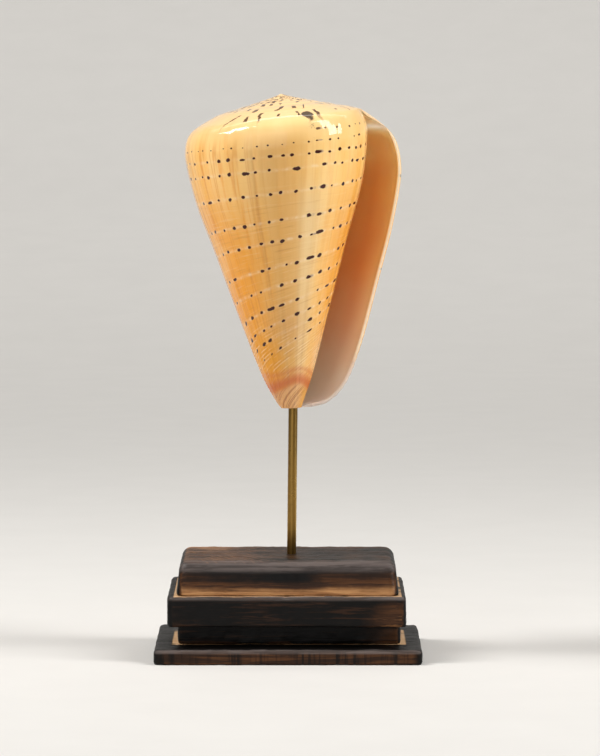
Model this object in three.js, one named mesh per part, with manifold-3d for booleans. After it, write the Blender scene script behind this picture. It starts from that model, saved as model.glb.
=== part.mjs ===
// A cone shell standing spire up on a brass rod, on a stand of four charred wooden boards.
// Millimetres, +Z up, the aperture's side towards -Y. The origin is the centre of the
// bottom board's underside.
import * as THREE from 'three';
import { mergeVertices } from 'three/addons/utils/BufferGeometryUtils.js';
import { RoundedBoxGeometry } from 'three/addons/geometries/RoundedBoxGeometry.js';
import Module from 'manifold-3d';

// Boards, from the floor up: width along X, depth along Y, thickness, how far each was set
// off centre towards +X, and the radius that wear has given to its edges.
const boards = [
  { name: 'bottom_slab', width: 92, depth: 72, thick: 5.25, slide: 0, edge: 1.1, colour: '#3b2717' },
  { name: 'neck_block', width: 77, depth: 40, thick: 7.25, slide: 0.3, edge: 0.5, colour: '#1d130c' },
  { name: 'middle_slab', width: 82, depth: 62, thick: 10.5, slide: -0.5, edge: 1.2, colour: '#1a110b' },
];

// The top board narrows upwards. Its upper edges are well rounded, its lower ones sharp.
const topBoard = { name: 'top_block', width: 76.5, depth: 58, thick: 11.6, slide: -0.15, edge: 3 };
const topWidth = 74;          // at its upper face
const topDepth = 51;
const topForward = 0.75;      // how far its centre lies in front of the other boards'

// Rod.
const rodDiameter = 3.2;
const rodTiltDegrees = 0.61;  // the rod leans towards +X as it rises
const rodOffset = 1.15;       // its axis at the top board's upper face, from the centre
const rodDepth = 8;           // how deep it stands in the top board
const rodInShell = 25;        // how far it reaches up into the shell
const clearance = 0.3;        // around the rod, in both of its holes

// Shell: its frame has the apex at the origin and the axis down -Z.
const shellHeight = 109.1;    // from the apex to the cut tip, along the axis
const apexHeight = 194.6;     // above the floor
const apexOffset = -2.5;      // along X
const shellTiltDegrees = -2.1;

// Growth of the shell. A turn is one full circle back from the lip.
const whorlGrowth = 1.42;     // how much the radius grows in a turn
const sutureRadius = 27;      // where the last whorl leaves the spire, at the lip
const spireTurns = 7;         // turns of the spire above the last whorl
const spireSlope = 0.211;     // fall of the spire for each millimetre outwards
const spireLean = 0.044;      // extra fall towards -X
const leanReach = 16;         // depth at which that lean has faded out
const apexRise = 0.3;         // height of the small nipple at the apex
const apexReach = 2;          // its radius
const whorlRound = 0.012;     // how far a spire whorl bulges, for each millimetre of radius
const windingRate = 0.0185;   // how fast the lip's flare dies away, for each millimetre of depth
const wall = 1.3;             // thickness at the lip
const channelBite = 0.2;      // how far the channel is cut into the body inside the lip
const channelTurns = 0.3;     // how far the open channel runs back inside the shell
const canalTurns = 0.16;      // and how far at its narrow lower end
const innerSpan = [0.02, 0.99];  // the channel's reach down the body's side, from 0 to 1
const outerSpan = [-0.86, 1];    // and along the last whorl, from -1 at the suture to 1

// Outline of the lip, as radius and depth below the apex, from the suture over the
// shoulder to the tip. The outline of the body a full turn back starts at the same suture.
const lipOutline = [
  [sutureRadius, spireDepth(sutureRadius)], [34.5, 10.3], [38.2, 14.4], [40.8, 26.5], [37.3, 45.7],
  [31.3, 66.3], [25, 86.9], [19.2, 100.6], [12.8, 107.3], [6.7, shellHeight],
];
const bodyOutline = [
  [sutureRadius, spireDepth(sutureRadius)], [29.4, 13.5], [27.2, 30.5],
  [21.2, 50.5], [14.4, 74], [7.8, 96.4], [4.3, 105.8], [3.1, shellHeight],
];
const rampSpans = 2;          // spans of the lip's outline that lie above the body's

// Fineness of the mesh.
const stepsPerTurn = 40;
const rampSteps = 3;
const sideSteps = 22;
const channelSteps = 16;
const rodSides = 32;
const edgeSteps = 2;
const topEdgeSteps = 3;
const tangentReach = 0.004;   // share of an outline over which its direction is taken
const mergeDistance = 0.0005; // vertices nearer than this are one
const slowestRate = 0.001;    // a flare that dies away more slowly than this does so evenly

// The tool that cuts the channel starts ahead of the lip, clear of the body.
const cutterStart = -0.03;    // in turns
const cutterGap = 0.6;

function spireDepth(radius) {
  return apexRise * (1 - Math.exp(-radius / apexReach)) + spireSlope * radius;
}

function outlineCurve(points) {
  return new THREE.SplineCurve(points.map(([r, q]) => new THREE.Vector2(r, q)));
}

const lipCurve = outlineCurve(lipOutline);
const bodyCurve = outlineCurve(bodyOutline);
const rampShare = rampSpans / (lipOutline.length - 1);

// A spire whorl's radius and depth, across it from its inner suture (0) to its outer one (1).
function spireOutline(turn, across) {
  const radius = sutureRadius * whorlGrowth ** (across - turn);
  const bulge = whorlRound * radius * Math.sin(Math.PI * across);
  return new THREE.Vector2(radius, spireDepth(radius) - bulge);
}

// Position along a whorl's outline: -1 to 0 over the ramp, and 0 to 1 down the side.
function lipAt(along) {
  const share = along < 0 ? rampShare * (1 + along) : rampShare + (1 - rampShare) * along;
  return lipCurve.getPoint(share);
}

function bodyAt(along) {
  return along < 0 ? spireOutline(1, 1 + along) : bodyCurve.getPoint(along);
}

// Share of the lip's flare that is left some turns back from the lip: 1 at the lip, 0 after
// a full turn.
function flareLeft(turn, rate) {
  if (rate < slowestRate) {
    return 1 - turn;
  }
  return (Math.exp(-rate * turn) - Math.exp(-rate)) / (1 - Math.exp(-rate));
}

// Radius and depth of the shell's outer skin, some turns back from the lip.
function skinOutline(turn, along) {
  if (along === -1) {
    return spireOutline(turn, 0);
  }
  const body = bodyAt(along);
  if (turn > 1) {
    const shrink = whorlGrowth ** (1 - turn);
    const held = shrink + (1 - shrink) * body.y / shellHeight;
    return new THREE.Vector2(body.x * shrink, body.y * held);
  }
  const lip = lipAt(along);
  const flare = flareLeft(turn, windingRate * (lip.y - lipOutline[0][1]));
  const radius = body.x * (lip.x / body.x) ** flare;
  const share = (radius - body.x) / (lip.x - body.x);
  return new THREE.Vector2(radius, body.y + (lip.y - body.y) * share);
}

// Outline of the channel's outer wall: the skin moved inwards by the wall's thickness.
function liningOutline(turn, along) {
  const point = skinOutline(turn, along);
  const ahead = skinOutline(turn, Math.min(along + tangentReach, 1));
  const behind = skinOutline(turn, Math.max(along - tangentReach, -1));
  const tangent = ahead.sub(behind).normalize();
  const floor = shellHeight - wall;
  return new THREE.Vector2(point.x - wall * tangent.y, Math.min(point.y + wall * tangent.x, floor));
}

// A point of the shell from its turn and its outline's radius and depth.
function place(turn, outline) {
  const angle = 2 * Math.PI * turn;
  const fade = Math.exp(-((outline.y / leanReach) ** 2));
  const lean = spireLean * outline.x * (1 - Math.cos(angle)) * fade;
  return new THREE.Vector3(
    outline.x * Math.cos(angle),
    outline.x * Math.sin(angle),
    -(outline.y + lean),
  );
}

// Triangles between two rows of points of equal length.
function bridge(triangles, first, second) {
  for (let i = 0; i + 1 < first.length; i += 1) {
    triangles.push([first[i], second[i], second[i + 1]], [first[i], second[i + 1], first[i + 1]]);
  }
}

// Triangles over a flat loop, which run anticlockwise once the function has flattened them.
function fillLoop(triangles, loop, flatten) {
  const outline = loop.map(flatten);
  for (const face of THREE.ShapeUtils.triangulateShape(outline, [])) {
    const turned = THREE.ShapeUtils.area(face.map((index) => outline[index])) < 0;
    const corners = turned ? [...face].reverse() : face;
    triangles.push(corners.map((index) => loop[index]));
  }
}

function toGeometry(triangles) {
  const geometry = new THREE.BufferGeometry();
  const positions = triangles.flat().flatMap((point) => point.toArray());
  geometry.setAttribute('position', new THREE.Float32BufferAttribute(positions, 3));
  return geometry;
}

const sideLevels = Array.from({ length: sideSteps + 1 }, (_, i) => i / sideSteps);
const rampLevels = Array.from({ length: rampSteps }, (_, i) => i / rampSteps - 1);

// The shell without its channel: the skin of the last whorl, the spire, the plane that
// the lip ends at, and the cut tip.
function solidShell() {
  const triangles = [];
  const levels = [...rampLevels, ...sideLevels];
  const whorl = [];
  for (let step = 0; step <= stepsPerTurn; step += 1) {
    const turn = step / stepsPerTurn;
    whorl.push(levels.map((along) => place(turn, skinOutline(turn, along))));
  }
  for (let step = 0; step < stepsPerTurn; step += 1) {
    bridge(triangles, whorl[step + 1], whorl[step]);
  }
  spireTriangles(triangles);
  const body = whorl[stepsPerTurn].slice(rampSteps + 1);
  const lipPlane = [...whorl[0], ...body.reverse()];
  fillLoop(triangles, lipPlane, (point) => new THREE.Vector2(point.x, point.z));
  const tip = whorl.map((column) => column[column.length - 1]);
  fillLoop(triangles, tip, (point) => new THREE.Vector2(point.y, point.x));
  return toGeometry(triangles);
}

function spireTriangles(triangles) {
  const apex = new THREE.Vector3(0, 0, 0);
  const across = [...Array(rampSteps + 1).keys()].map((i) => i / rampSteps);
  const column = (step) => {
    const turn = step / stepsPerTurn;
    return across.map((share) => place(turn, spireOutline(turn, share)));
  };
  const last = stepsPerTurn * (1 + spireTurns);
  for (let step = stepsPerTurn; step < last; step += 1) {
    bridge(triangles, column(step + 1), column(step));
  }
  for (let step = last - stepsPerTurn + 1; step <= last; step += 1) {
    triangles.push([apex, column(step - 1)[0], column(step)[0]]);
  }
  const end = column(last);
  for (let i = 0; i < rampSteps; i += 1) {
    triangles.push([apex, end[i], end[i + 1]]);
  }
}

// Evenly spaced values over a span, both ends included.
function spread([from, to], steps) {
  return Array.from({ length: steps + 1 }, (_, i) => from + (to - from) * i / steps);
}

// The open channel between the last whorl's wall and the body a turn further back.
function channel() {
  const triangles = [];
  const sections = [];
  const inner = spread(innerSpan, sideSteps);
  const outer = spread(outerSpan, sideSteps);
  for (let step = -1; step <= channelSteps; step += 1) {
    const ahead = step < 0;
    const section = { inner: [], outer: [] };
    for (let i = 0; i <= sideSteps; i += 1) {
      const reach = canalTurns + (channelTurns - canalTurns) * (1 - (i / sideSteps) ** 3);
      const turn = ahead ? cutterStart : reach * step / channelSteps;
      const body = skinOutline(ahead ? 1 : 1 + turn, inner[i]);
      body.x += ahead ? cutterGap : -channelBite;
      body.y = Math.min(body.y, shellHeight - wall);
      section.inner.push(place(turn, body));
      section.outer.push(place(turn, liningOutline(Math.max(turn, 0), outer[i])));
    }
    sections.push(section);
  }
  const loops = sections.map(({ inner: a, outer: b }) => [...a, ...[...b].reverse(), a[0]]);
  for (let i = 0; i + 1 < loops.length; i += 1) {
    bridge(triangles, loops[i], loops[i + 1]);
  }
  const near = sections[0];
  const far = sections[sections.length - 1];
  bridge(triangles, near.outer, near.inner);
  bridge(triangles, far.inner, far.outer);
  return toGeometry(triangles);
}

const wasm = await Module();
wasm.setup();

function toManifold(geometry, matrix) {
  const bare = geometry.clone().applyMatrix4(matrix);
  bare.deleteAttribute('normal');
  bare.deleteAttribute('uv');
  const merged = mergeVertices(bare, mergeDistance);
  return new wasm.Manifold(new wasm.Mesh({
    numProp: 3,
    vertProperties: Float32Array.from(merged.attributes.position.array),
    triVerts: Uint32Array.from(merged.index.array),
  }));
}

function fromManifold(solid) {
  const mesh = solid.getMesh();
  const geometry = new THREE.BufferGeometry();
  geometry.setAttribute('position', new THREE.BufferAttribute(Float32Array.from(mesh.vertProperties), 3));
  geometry.setIndex([...mesh.triVerts]);
  geometry.computeVertexNormals();
  return geometry;
}

const still = new THREE.Matrix4();

// The rod's cylinder, made longer and wider by a clearance where it cuts a hole.
const topUnderside = boards.reduce((height, board) => height + board.thick, 0);
const standTop = topUnderside + topBoard.thick;
const tipHeight = apexHeight - shellHeight * Math.cos(THREE.MathUtils.degToRad(shellTiltDegrees));
const rodLength = rodDepth + (tipHeight - standTop) + rodInShell;
const rodMatrix = new THREE.Matrix4()
  .makeRotationY(THREE.MathUtils.degToRad(rodTiltDegrees))
  .setPosition(rodOffset, 0, standTop);

function rodGeometry(around) {
  const geometry = new THREE.CylinderGeometry(
    rodDiameter / 2 + around, rodDiameter / 2 + around, rodLength + 2 * around, rodSides,
  );
  return geometry.rotateX(Math.PI / 2).translate(0, 0, rodLength / 2 - rodDepth);
}

function finish(colour, roughness, metalness) {
  return new THREE.MeshStandardMaterial({ color: colour, roughness, metalness });
}

const object = new THREE.Group();

function makeBoard(board, underside) {
  const box = new RoundedBoxGeometry(board.width, board.depth, board.thick, edgeSteps, board.edge);
  const mesh = new THREE.Mesh(box, finish(board.colour, 0.7, 0));
  mesh.name = board.name;
  mesh.position.set(board.slide, 0, underside + board.thick / 2);
  return mesh;
}

// The top board is the upper half of a rounded box twice as thick, drawn in towards its top.
function makeTopBoard() {
  const { width, depth, thick, edge } = topBoard;
  const box = new RoundedBoxGeometry(width, depth, 2 * thick, topEdgeSteps, edge);
  const lower = new THREE.BoxGeometry(2 * width, 2 * depth, 2 * thick).translate(0, 0, -thick);
  const geometry = fromManifold(toManifold(box, still).subtract(toManifold(lower, still)));
  const points = geometry.attributes.position;
  for (let i = 0; i < points.count; i += 1) {
    const share = points.getZ(i) / thick;
    points.setX(i, points.getX(i) * (1 + (topWidth / width - 1) * share));
    points.setY(i, points.getY(i) * (1 + (topDepth / depth - 1) * share));
  }
  const mesh = new THREE.Mesh(geometry, finish('#4a3220', 0.7, 0));
  mesh.name = topBoard.name;
  mesh.position.set(topBoard.slide, -topForward, topUnderside);
  return mesh;
}

function cutRodHole(mesh) {
  mesh.updateMatrix();
  const toMesh = mesh.matrix.clone().invert().multiply(rodMatrix);
  const solid = toManifold(mesh.geometry, still);
  mesh.geometry = fromManifold(solid.subtract(toManifold(rodGeometry(clearance), toMesh)));
}

let underside = 0;
for (const board of boards) {
  object.add(makeBoard(board, underside));
  underside += board.thick;
}

const topBlock = makeTopBoard();
cutRodHole(topBlock);
object.add(topBlock);

const rod = new THREE.Mesh(rodGeometry(0), finish('#b08d57', 0.35, 1));
rod.name = 'rod';
rod.applyMatrix4(rodMatrix);
object.add(rod);

const hollowShell = toManifold(solidShell(), still).subtract(toManifold(channel(), still));
const shell = new THREE.Mesh(fromManifold(hollowShell), finish('#e8bd7c', 0.2, 0));
shell.name = 'shell';
shell.position.set(apexOffset, 0, apexHeight);
shell.rotation.y = THREE.MathUtils.degToRad(shellTiltDegrees);
cutRodHole(shell);
object.add(shell);

export default object;
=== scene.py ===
"""A cone shell, spire up, on a brass rod in a stand of four charred wooden boards.

Each finished piece takes its place from the loaded frame. Lengths are metres, and the
shell's own outline is in millimetres of radius and depth below its apex.
"""
import math

import bpy
import numpy as np
from mathutils import Matrix, Vector


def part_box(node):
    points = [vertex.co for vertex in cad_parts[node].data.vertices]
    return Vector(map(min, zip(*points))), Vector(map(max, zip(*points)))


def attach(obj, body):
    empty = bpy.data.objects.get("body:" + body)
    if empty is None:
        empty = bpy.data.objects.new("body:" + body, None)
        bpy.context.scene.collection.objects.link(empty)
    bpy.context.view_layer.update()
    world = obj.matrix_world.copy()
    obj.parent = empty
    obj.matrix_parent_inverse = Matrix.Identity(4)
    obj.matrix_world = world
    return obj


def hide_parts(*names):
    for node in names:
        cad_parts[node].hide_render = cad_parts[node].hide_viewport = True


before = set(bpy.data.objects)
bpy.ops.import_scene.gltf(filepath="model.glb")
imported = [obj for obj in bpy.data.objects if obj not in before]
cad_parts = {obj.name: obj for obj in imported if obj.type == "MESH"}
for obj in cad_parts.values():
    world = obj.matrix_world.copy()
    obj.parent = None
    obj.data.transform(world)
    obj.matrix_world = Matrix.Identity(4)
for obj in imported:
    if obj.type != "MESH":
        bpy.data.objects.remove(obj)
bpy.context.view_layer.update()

bl_info = {
    "name": "Cone Shell on a Stand",
    "version": (1, 0, 0),
    "blender": (4, 5, 0),
    "location": "3D View > Sidebar > Cone Shell",
    "description": "Models a cone shell, its brass rod and its stand of charred boards",
    "category": "Add Mesh",
}

MM = 0.001
BOARDS = ("bottom_slab", "neck_block", "middle_slab", "top_block")
TOP_TAPER = (74 / 76.5, 51 / 58)
CORNER_ROUNDING = 2 * MM
LOWER_ROUNDING = 0.5 * MM
NECK_EDGE = 0.5 * MM
BOARD_VOXEL = 0.6 * MM
BEVEL_SEGMENTS = 6
WEAR_LAYERS = (("dents", 7 * MM, 1.0), ("nibbles", 2.2 * MM, 0.5))
WEAR_LEVEL = 0.55
NEARLY = 0.01 * MM

# Placement of the shell and its rod in the frame.
APEX = Vector((-2.5, 0, 194.6)) * MM
SHELL_TILT = math.radians(-2.1)
ROD_TILT = math.radians(0.61)
ROD_OFFSET = 1.15 * MM
ROD_RADIUS = 1.6 * MM
ROD_IN_SHELL = 25.0
ROD_SIDES = 64
ROD_SOFTENING = 0.25 * MM

# Growth of the shell, in millimetres and turns back from the lip.
HEIGHT = 109.1
WHORL_GROWTH = 1.42
SUTURE_RADIUS = 27.0
SPIRE_TURNS = 7
SPIRE_SLOPE = 0.211
SPIRE_LEAN = 0.044
LEAN_REACH = 16.0
APEX_RISE = 0.3
APEX_REACH = 2.0
WHORL_ROUND = 0.012
WINDING_RATE = 0.0185
WALL = 1.3
CHANNEL_TURNS = 0.55
CANAL_TURNS = 0.22
SUTURE_DEPTH = APEX_RISE + SPIRE_SLOPE * SUTURE_RADIUS
LIP_OUTLINE = (
    (SUTURE_RADIUS, SUTURE_DEPTH), (34.5, 10.3), (38.2, 14.4), (40.8, 26.5), (37.3, 45.7),
    (31.3, 66.3), (25, 86.9), (19.2, 100.6), (12.8, 107.3), (6.7, HEIGHT),
)
BODY_OUTLINE = (
    (SUTURE_RADIUS, SUTURE_DEPTH), (29.4, 13.5), (27.2, 30.5), (21.2, 50.5),
    (14.4, 74), (7.8, 96.4), (4.3, 105.8), (3.1, HEIGHT),
)
TIP_RADIUS = 3.0
RAMP_SPANS = 2
RAMP_SHARE = RAMP_SPANS / (len(LIP_OUTLINE) - 1)

# Fineness of the shell's mesh.
TURN_STEPS = 210
RAMP_STEPS = 10
SIDE_STEPS = 220
SIDE_CROWDING = 1.25
CHANNEL_STEPS = 36
RIM_STEPS = 6
CAP_STEPS = 8
MERGE_DISTANCE = 0.002 * MM
SHOULDER_PASSES = 70
SHOULDER_FADE = 0.12
CHANNEL_CROWDING = 1.3
LINING_START = 0.86
ROD_CLEARANCE = 0.05

# Rows of dots: depth in millimetres where each crosses the middle of the body's front.
DOT_ROWS = (16.3, 20.5, 25.3, 33.3, 42.7, 49.6, 58.3, 64.9, 71.5, 77.0, 81.2)
ROW_CLIMB = 0.5
FRONT_TURN = 0.75
ROW_STEP = 0.25
CORDS_PER_ROW = 3.7

# Marks on the skin, by their turn or by their depth in millimetres.
BLOTCH_TURN = 0.806
SCAR_TURN = 0.697
SMEAR_TURNS = (0.822, 0.31)
SPIRE_STREAKS = 26.0
CORDS_START = 78.0
CORDS_FULL = 88.0
CORDS_FADE = (102.0, 96.0)
RUST_DEPTH = 102.4
TIP_START = (103.6, 105.6)
LINING_SPAN = 110.0

# Studio: places in metres from the middle of the stand's foot.
LIGHT_TARGET = Vector((0, 0, 0.14))
LEFT_LIGHT = LIGHT_TARGET + Vector((-0.58, -0.06, 0.68))
RIGHT_LIGHT = LIGHT_TARGET + Vector((0.68, -0.2, 0.54))
FRONT_LIGHT = LIGHT_TARGET + Vector((-0.4, -1.3, 0.35))
BACKDROP_LIGHT = Vector((0, 1.4, 2.0))
BACKDROP_TARGET = Vector((0, 3.2, 0.2))
FLOOR_SIZE = 16
WALL_Y = 4
WALL_HEIGHT = 5
SWEEP_RADIUS = 2.5
FILL_WHITE = (1.0, 0.98, 0.95, 1.0)
CAMERA_PLACE = (4.1 * MM, -1.586, 0.2079)
CAMERA_PITCH = math.radians(90 - 4.04)
CAMERA_LENS = 217.6
CAMERA_SENSOR = 36


# ---------------- shape of the shell

def spline(points, shares):
    """Points of a smooth curve through all the points, at shares 0 to 1 of its spans."""
    points = np.array(points, dtype=float)
    spans = len(points) - 1
    place = np.clip(np.asarray(shares, dtype=float), 0, 1) * spans
    start = np.minimum(place.astype(int), spans - 1)
    part = (place - start)[..., None]
    before = points[np.maximum(start - 1, 0)]
    here = points[start]
    there = points[start + 1]
    after = points[np.minimum(start + 2, spans)]
    leave = (there - before) / 2
    arrive = (after - here) / 2
    curve = (2 * here - 2 * there + leave + arrive) * part ** 3
    curve += (3 * there - 3 * here - 2 * leave - arrive) * part ** 2
    return curve + leave * part + here


def spire_depth(radius):
    """Depth of the spire's slope, blunt at the apex."""
    return APEX_RISE * (1 - np.exp(-radius / APEX_REACH)) + SPIRE_SLOPE * radius


def spire_outline(turn, across):
    """Radius and depth across a spire whorl, from its inner suture (0) to its outer (1)."""
    radius = SUTURE_RADIUS * WHORL_GROWTH ** (across - turn)
    bulge = WHORL_ROUND * radius * np.sin(np.pi * across)
    return radius, spire_depth(radius) - bulge


def skin_outline(turn, along):
    """Radius and depth of the skin some turns back from the lip, up to a full turn.

    along runs from -1 at the suture, past 0 where the body's side starts, to 1 at the tip.
    """
    turn, along = np.broadcast_arrays(turn, along)
    over = RAMP_SHARE * (1 + along)
    down = RAMP_SHARE + (1 - RAMP_SHARE) * along
    lip = spline(LIP_OUTLINE, np.where(along < 0, over, down))
    lip_r, lip_q = lip[..., 0], lip[..., 1]
    body_r, body_q = body_outline(along)
    rate = np.maximum(WINDING_RATE * (lip_q - SUTURE_DEPTH), 0.0001)
    flare = (np.exp(-rate * turn) - np.exp(-rate)) / (1 - np.exp(-rate))
    radius = body_r * (lip_r / body_r) ** flare
    share = (radius - body_r) / (lip_r - body_r)
    depth = body_q + (lip_q - body_q) * share
    edge_r, edge_q = spire_outline(turn, 0)
    return np.where(along <= -1, edge_r, radius), np.where(along <= -1, edge_q, depth)


def smooth_step(values):
    values = np.clip(values, 0, 1)
    return values * values * (3 - 2 * values)


def round_shoulder(turn, radius, depth):
    """Eases the corner between the ramp and the side, except where the whorl meets itself."""
    eased = []
    columns = np.arange(radius.shape[1])
    reach = smooth_step(columns / 3) * smooth_step((4 * RAMP_STEPS - columns) / RAMP_STEPS)
    for values in (radius, depth):
        soft = values.copy()
        for _ in range(SHOULDER_PASSES):
            middle = (soft[:, :-2] + 2 * soft[:, 1:-1] + soft[:, 2:]) / 4
            soft[:, 1:-1] += (middle - soft[:, 1:-1]) * reach[1:-1]
        eased.append(values + (soft - values) * smooth_step((1 - turn) / SHOULDER_FADE))
    return eased


def skin_relief(turn, along, depth):
    """How far growth lines, an old lip scar and the lower cords raise the skin."""
    lines = 0.05 * np.sin(2 * np.pi * 23 * turn + 1) + 0.04 * np.sin(2 * np.pi * 37 * turn)
    lines = lines + 0.03 * np.sin(2 * np.pi * 61 * turn + 0.03 * depth)
    scar = -0.22 * np.exp(-((turn - SCAR_TURN) / 0.006) ** 2) * smooth_step((76 - depth) / 14)
    near_tip = smooth_step((depth - CORDS_START) / (CORDS_FULL - CORDS_START))
    cords = 0.07 * near_tip * np.sin(2 * np.pi * CORDS_PER_ROW * row_place(turn, depth))
    kept = smooth_step(along / 0.08) * smooth_step((1 - turn) / 0.06)
    return (lines + scar + cords) * kept


def body_outline(along):
    """Radius and depth of the body that the last whorl wraps round, a turn behind the lip."""
    body = spline(BODY_OUTLINE, np.maximum(along, 0))
    ramp_r, ramp_q = spire_outline(1, 1 + np.minimum(along, 0))
    return np.where(along < 0, ramp_r, body[..., 0]), np.where(along < 0, ramp_q, body[..., 1])


def inner_body_outline(turn, along):
    """The body behind the lip, where the aperture's channel runs past it."""
    radius, depth = body_outline(along)
    shrink = WHORL_GROWTH ** -turn
    return radius * shrink, depth * (shrink + (1 - shrink) * depth / HEIGHT)


def lining_outline(turn, along):
    """The skin moved inwards by the wall's thickness."""
    reach = 0.004
    radius, depth = skin_outline(turn, along)
    ahead = skin_outline(turn, np.minimum(along + reach, 1))
    behind = skin_outline(turn, np.maximum(along - reach, -1))
    step_r, step_q = ahead[0] - behind[0], ahead[1] - behind[1]
    length = np.hypot(step_r, step_q)
    radius = radius - WALL * step_q / length
    return radius, np.minimum(depth + WALL * step_r / length, HEIGHT - WALL)


def place(turn, radius, depth):
    """Shell coordinates, in millimetres, apex at the origin and axis down -Z."""
    angle = 2 * np.pi * turn
    fade = np.exp(-((depth / LEAN_REACH) ** 2))
    lean = SPIRE_LEAN * radius * (1 - np.cos(angle)) * fade
    flat = np.broadcast_arrays(radius * np.cos(angle), radius * np.sin(angle), -(depth + lean))
    return np.stack(flat, axis=-1)


def row_place(turn, depth):
    """Row number of the spiral bands of dots, counted down from the shoulder."""
    level = depth * np.exp(ROW_CLIMB * (turn - FRONT_TURN))
    rows = np.array(DOT_ROWS)
    inside = np.interp(level, rows, np.arange(len(rows)))
    above = np.minimum(level - rows[0], 0) / (rows[1] - rows[0])
    below = np.maximum(level - rows[-1], 0) / (rows[-1] - rows[-2])
    return inside + above + below


def row_width(turn, depth):
    """Millimetres of depth that one row takes up there."""
    below = row_place(turn, depth + ROW_STEP)
    return 2 * ROW_STEP / (below - row_place(turn, depth - ROW_STEP))


SHELL_MATRIX = Matrix.Translation(APEX) @ Matrix.Rotation(SHELL_TILT, 4, "Y") @ Matrix.Scale(MM, 4)


def surface_patch(name, points, turn, radius, depth, across=2.0, inside=0.0, rim=0.0):
    """A grid whose vertices take the points given, with the maps that its finish reads.

    across runs from 0 at a whorl's inner suture to 1 at its outer one, or on the last whorl
    to 1 at the shoulder and 2 at the tip.
    """
    rows, columns = points.shape[:2]
    bpy.ops.mesh.primitive_grid_add(x_subdivisions=columns - 1, y_subdivisions=rows - 1, size=1)
    patch = bpy.context.object
    patch.name = name
    mesh = patch.data
    matrix = np.array(SHELL_MATRIX)
    flat = points.reshape(-1, 3) @ matrix[:3, :3].T + matrix[:3, 3]
    mesh.vertices.foreach_set("co", flat.astype(np.float32).ravel())
    maps = {
        "growth": (turn, depth),
        "rows": (row_place(turn, depth), row_width(turn, depth)),
        "girth": (2 * np.pi * radius, across),
        "zone": (inside, rim),
    }
    corner = np.empty(len(mesh.loops), dtype=np.int32)
    mesh.loops.foreach_get("vertex_index", corner)
    mesh.uv_layers.remove(mesh.uv_layers[0])
    for layer_name, (first, second) in maps.items():
        layer = mesh.uv_layers.new(name=layer_name)
        first, second = (np.broadcast_to(value, (rows, columns)) for value in (first, second))
        pair = np.stack((first.ravel(), second.ravel()), axis=-1)[corner]
        layer.uv.foreach_set("vector", pair.astype(np.float32).ravel())
    return patch


def shell_patches():
    """The patches that close the shell: skin, spire, channel, lip, tip and rod hole."""
    ramp = np.linspace(-1, 0, RAMP_STEPS + 1)[:-1]
    side = 1 - (1 - np.linspace(0, 1, SIDE_STEPS + 1)) ** SIDE_CROWDING
    along = np.concatenate((ramp, side))[None, :]
    turn = np.linspace(0, 1, TURN_STEPS + 1)[:, None]
    radius, depth = skin_outline(turn, along)
    radius, depth = round_shoulder(turn, radius, depth)
    radius = radius + skin_relief(turn, along, depth)
    skin = place(turn, radius, depth)
    patches = [surface_patch("skin", skin, turn, radius, depth, 1 + along)]

    spire_turn = 1 + np.linspace(0, SPIRE_TURNS, SPIRE_TURNS * TURN_STEPS + 1)[:, None]
    across = np.linspace(0, 1, RAMP_STEPS + 1)[None, :]
    spire_r, spire_q = spire_outline(spire_turn, across)
    spire = place(spire_turn, spire_r, spire_q)
    patches.append(surface_patch("spire", spire, spire_turn, spire_r, spire_q, across))
    last_turn = spire_turn[-TURN_STEPS - 1:]
    share = np.linspace(0, 1, CAP_STEPS + 1)[None, :]
    cap_r = spire_r[-TURN_STEPS - 1:, :1] * share
    cap_q = spire_depth(cap_r)
    cap = place(last_turn, cap_r, cap_q)
    patches.append(surface_patch("apex", cap, last_turn, cap_r, cap_q, 0.0))

    first, last = RAMP_STEPS + 1, RAMP_STEPS + SIDE_STEPS - 1
    inner_along = along[:, first:last + 1]
    fade = np.linspace(0, 1, CHANNEL_STEPS + 1)[:, None] ** CHANNEL_CROWDING
    reach = CANAL_TURNS + (CHANNEL_TURNS - CANAL_TURNS) * (1 - np.maximum(along, 0) ** 3)
    inner_turn = reach[:, first:last + 1] * fade
    inner_r, inner_q = inner_body_outline(inner_turn, inner_along)
    inner = place(inner_turn, inner_r, inner_q)
    deep = np.clip(inner_turn / 0.03, 0, 1)
    patches.append(surface_patch("inner_body", inner, 1 + inner_turn, inner_r, inner_q,
                                 inside=deep))

    outer_turn = reach * fade
    outer_along = np.concatenate((ramp * LINING_START, side))[None, :]
    outer_r, outer_q = lining_outline(outer_turn, outer_along)
    lining = place(outer_turn, outer_r, outer_q)
    lining[:, 0] = inner[:, 0]
    lining[:, -1] = inner[:, -1]
    patches.append(surface_patch("lining", lining, outer_turn, outer_r, outer_q, inside=1.0))

    matching = np.clip(np.arange(along.shape[1]), first, last) - first
    end = np.stack((inner[-1][matching], lining[-1]))
    patches.append(surface_patch("channel_end", end, 0.5, outer_r[-1:], outer_q[-1:], inside=1.0))

    bend = np.linspace(0, np.pi, RIM_STEPS + 1)[:, None, None]
    rim = skin[0][None] * (1 + np.cos(bend)) / 2 + lining[0][None] * (1 - np.cos(bend)) / 2
    taper = np.minimum(1, 12 * np.sin(np.linspace(0, np.pi, along.shape[1])))[None, :]
    rim[..., 1] -= WALL / 2 * np.sin(bend[..., 0]) * taper
    on_rim = np.sin(bend[..., 0]) * np.ones_like(taper)
    inside = (1 - np.cos(bend[..., 0])) / 2 * np.ones_like(taper)
    patches.append(surface_patch("rim", rim, 0.0, radius[:1], depth[:1], inside=inside, rim=on_rim))
    patches.append(tip_patch(skin))
    return patches


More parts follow.
